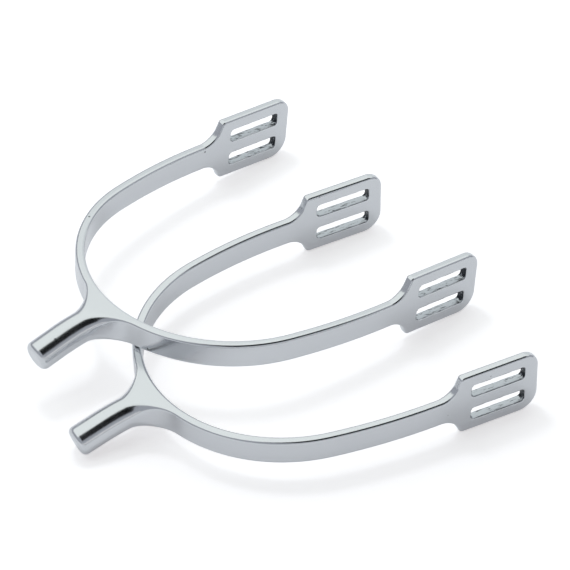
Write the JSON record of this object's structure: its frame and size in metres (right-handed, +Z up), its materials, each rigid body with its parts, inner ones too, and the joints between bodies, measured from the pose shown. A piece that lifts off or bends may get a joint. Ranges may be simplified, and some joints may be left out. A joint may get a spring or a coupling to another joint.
{
  "type": "pair of riding spurs",
  "caption": "Pair of blunt-necked riding spurs in polished steel, each one piece, with slotted ends for a strap; one lies across the other.",
  "frame": {"origin": "on the surface that the pair stands on, under the middle of the pair's box", "axes": "+X from the heel to the strap ends of the lower spur, +Y to the left towards the upper spur, +Z up"},
  "size_m": [0.117, 0.1224, 0.0203],
  "materials": {
    "polished_steel": "cast stainless steel, polished all over except inside the strap slots"
  },
  "bodies": {
    "lower_spur": {"lower_spur": "polished_steel"},
    "upper_spur": {"upper_spur": "polished_steel"}
  },
  "joints": [
    {"name": "upper_spur_lift", "type": "slide", "parent": "lower_spur", "child": "upper_spur", "axis": [0, 0, 1], "range_m": [0, 0.06]}
  ]
}
